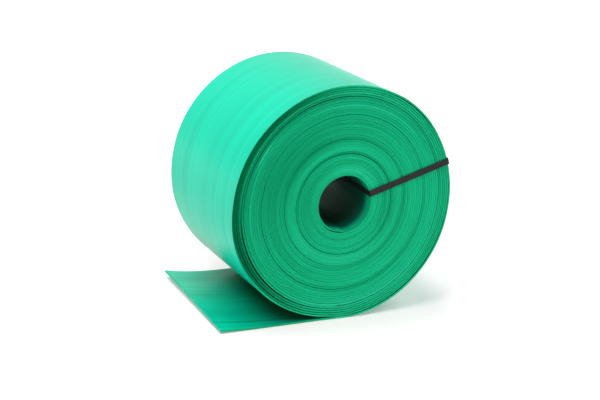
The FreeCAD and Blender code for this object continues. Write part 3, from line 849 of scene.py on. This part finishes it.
def hose_material():
    """Flexible PVC with streaks and bands along the hose, strongest on the tail, and painted
    shade and highlights from the mesh's maps.
    """
    material, shader, nodes = new_material("hose_pvc")
    hose_map = nodes.mesh_map("hose_map")
    side_shade, fold_level = nodes.parts(nodes.mesh_map("shade_map"))
    on_fold, wall_place = nodes.parts(nodes.mesh_map("fold_map"))
    tail_inward, tail_share = nodes.parts(nodes.mesh_map("tail_map"))

    streaks = nodes.noise(hose_map, *STREAK_NOISE)
    pale = nodes.ramp(streaks, (0.38, 0.0), (0.66, 1.0))
    side = nodes.blend(pale, SIDE_GREEN, SIDE_GREEN_PALE)
    # painted shade on the sides: between turns, in the bore, on the outermost turn and the tail
    side = nodes.blend(side_shade, side, SIDE_GREEN_PAINTED_SHADE)
    colour = nodes.blend(on_fold, side, fold_colour(nodes, hose_map, fold_level, wall_place))

    shading = nodes.ramp(nodes.noise(hose_map, *BROAD_NOISE), (0.3, 0.93), (0.7, 1.0))
    colour = nodes.blend(1.0, colour, shading, "MULTIPLY")
    bands = nodes.ramp(nodes.noise(hose_map, *BAND_NOISE), (0.38, 0.80), (0.62, 1.0))
    banding = nodes.ramp(tail_share, (0.0, 0.35), (0.3, 1.0))
    banding = nodes.calculate("MULTIPLY", banding, nodes.calculate("SUBTRACT", 1.0, on_fold))
    colour = nodes.blend(banding, colour, bands, "MULTIPLY")
    # the crease is a line of painted shade
    crease = crease_painted_shade(nodes, tail_inward, tail_share)

    grain = nodes.noise(nodes.object_place(), scale=GRAIN_SCALE)
    grain = nodes.calculate("MULTIPLY", grain, 0.25)
    relief = nodes.calculate("MULTIPLY_ADD", streaks, 0.7, grain)
    nodes.feed(shader, {
        "Base Color": nodes.blend(crease, colour, FOLD_GREEN_PAINTED_SHADE),
        "Roughness": nodes.map_range(streaks, (0.0, 1.0), (0.24, 0.36)),
        "Specular IOR Level": 0.1,
        "Specular Tint": SHEEN_GREEN,
        "Normal": nodes.bump(relief, 0.35, 0.12 * MM),
    })
    return material


def strap_material():
    """Black polypropylene with an embossed lattice and scuffs."""
    material, shader, nodes = new_material("strap_plastic")
    place = nodes.object_place()
    cells = {"Vector": place, "Scale": LATTICE_SCALE, "Randomness": 0.15}
    lattice = nodes.add("ShaderNodeTexVoronoi", cells, feature="DISTANCE_TO_EDGE")
    raised = nodes.ramp(lattice.outputs["Distance"], (0.0, 0.0), (0.25, 1.0))
    scuffs = nodes.noise(place, *SCUFF_NOISE)
    scuffed = nodes.ramp(scuffs, (0.45, 0.0), (0.75, 1.0))
    nodes.feed(shader, {
        "Base Color": nodes.blend(scuffed, STRAP_BLACK, STRAP_SCUFFED),
        "Roughness": nodes.map_range(scuffs, (0.0, 1.0), (0.42, 0.62)),
        "Specular IOR Level": 0.2,
        "Normal": nodes.bump(raised, 0.8, 0.12 * MM),
    })
    return material


def seal_material():
    """Zinc-coated steel sheet, drawn along the strap, with faint spangle."""
    material, shader, nodes = new_material("seal_steel")
    place = nodes.object_place()
    spangle = nodes.add("ShaderNodeTexVoronoi", {"Vector": place, "Scale": SPANGLE_SCALE})
    drawn = nodes.noise(place, *DRAWN_NOISE)
    tone = nodes.calculate("MULTIPLY_ADD", spangle.outputs["Distance"], 0.25, drawn)
    nodes.feed(shader, {
        "Base Color": nodes.ramp(tone, (0.3, SEAL_DULL), (0.9, SEAL_BRIGHT)),
        "Metallic": 1.0,
        "Roughness": nodes.map_range(drawn, (0.0, 1.0), (0.42, 0.62)),
        "Normal": nodes.bump(drawn, 0.25, 0.05 * MM),
    })
    return material


def dress_node(name, material):
    """Gives a CAD node its material in every slot."""
    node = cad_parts[name]
    if not node.material_slots:
        node.data.materials.append(material)
    for slot in node.material_slots:
        slot.material = material


# Floor, light and camera


def seen_ray(nodes):
    """1 for rays that see the background: from the camera, in a reflection or through glass."""
    ray = nodes.add("ShaderNodeLightPath").outputs
    reflected = nodes.calculate("MAXIMUM", ray["Is Glossy Ray"], ray["Is Transmission Ray"])
    return nodes.calculate("MAXIMUM", ray["Is Camera Ray"], reflected)


def make_floor():
    """A white paper sweep with a faint glow, which is warm near the object, against the green
    light that falls from it. Far away, where the softboxes don't reach, it glows white for the
    rays that see the background."""
    near, far = -SWEEP_REACH, SWEEP_REACH
    corners = [(near, near, 0.0), (far, near, 0.0), (far, far, 0.0), (near, far, 0.0)]
    floor = new_mesh_object("floor", corners, [[0, 1, 2, 3]])
    material, shader, nodes = new_material("floor_paint")
    place = nodes.object_place()
    mottle = nodes.noise(place, detail=3.0, scale=MOTTLE_SCALE)
    distance = nodes.add("ShaderNodeVectorMath", {0: place}, operation="LENGTH").outputs["Value"]
    far_away = nodes.map_range(distance, SWEEP_FAR, (0.0, 1.0), "SMOOTHSTEP")
    glow = nodes.calculate("MULTIPLY_ADD", far_away, seen_ray(nodes), SWEEP_GLOW)
    nodes.feed(shader, {
        "Base Color": nodes.ramp(mottle, (0.3, 0.84), (0.7, 0.86)),
        "Roughness": 0.8,
        "Specular IOR Level": 0.05,
        "Emission Color": nodes.blend(far_away, SWEEP_TINT, WHITE),
        "Emission Strength": glow,
    })
    floor.data.materials.append(material)


def add_softbox(name, place, side, power):
    light = bpy.data.lights.new(name, "AREA")
    light.size = side
    light.energy = power
    softbox = bpy.data.objects.new(name, light)
    softbox.location = place
    aim = Vector(LIGHT_AIM) - Vector(place)
    softbox.rotation_euler = aim.to_track_quat("-Z", "Y").to_euler()
    bpy.context.scene.collection.objects.link(softbox)


def light_scene():
    """The softboxes, and a room that is white behind the object and dim in front of it."""
    for name, place, side, power in SOFTBOXES:
        add_softbox(name, place, side, power)
    world = bpy.data.worlds.new("studio")
    world.use_nodes = True
    nodes = Nodes(world.node_tree)
    _, behind = nodes.parts(nodes.add("ShaderNodeTexCoord").outputs["Generated"])
    room = nodes.map_range(behind, ROOM_CHANGE, (ROOM_FILL, SWEEP_BEHIND), "SMOOTHSTEP")
    seen = nodes.add("ShaderNodeMix", {"Factor": seen_ray(nodes), "A": room, "B": 1.0})
    background = world.node_tree.nodes["Background"]
    nodes.feed(background, {"Color": WHITE, "Strength": seen.outputs["Result"]})
    bpy.context.scene.world = world


def place_camera():
    back = Vector((
        math.sin(CAMERA_AZIMUTH) * math.cos(CAMERA_ELEVATION),
        -math.cos(CAMERA_AZIMUTH) * math.cos(CAMERA_ELEVATION),
        math.sin(CAMERA_ELEVATION),
    ))
    level_right = (-back).cross(Vector((0.0, 0.0, 1.0))).normalized()
    level_up = level_right.cross(-back)
    right = level_right * math.cos(CAMERA_ROLL) + level_up * math.sin(CAMERA_ROLL)
    up = level_up * math.cos(CAMERA_ROLL) - level_right * math.sin(CAMERA_ROLL)
    place = Vector(ROLL_MIDDLE) + ROLL_MEAN_RADIUS * (
        back * CAMERA_DISTANCE + right * CAMERA_SIDE + up * CAMERA_RISE
    )
    lens = bpy.data.cameras.new("camera")
    lens.lens = CAMERA_LENS
    lens.sensor_width = SENSOR_WIDTH
    camera = bpy.data.objects.new("camera", lens)
    turned = Matrix((right, up, back)).transposed().to_4x4()
    camera.matrix_world = Matrix.Translation(place) @ turned
    bpy.context.scene.collection.objects.link(camera)
    bpy.context.scene.camera = camera


make_hose(hose_material())
dress_node("strap", strap_material())
dress_node("strap_seal", seal_material())
make_floor()
light_scene()
place_camera()
bpy.context.scene.view_settings.view_transform = "Standard"
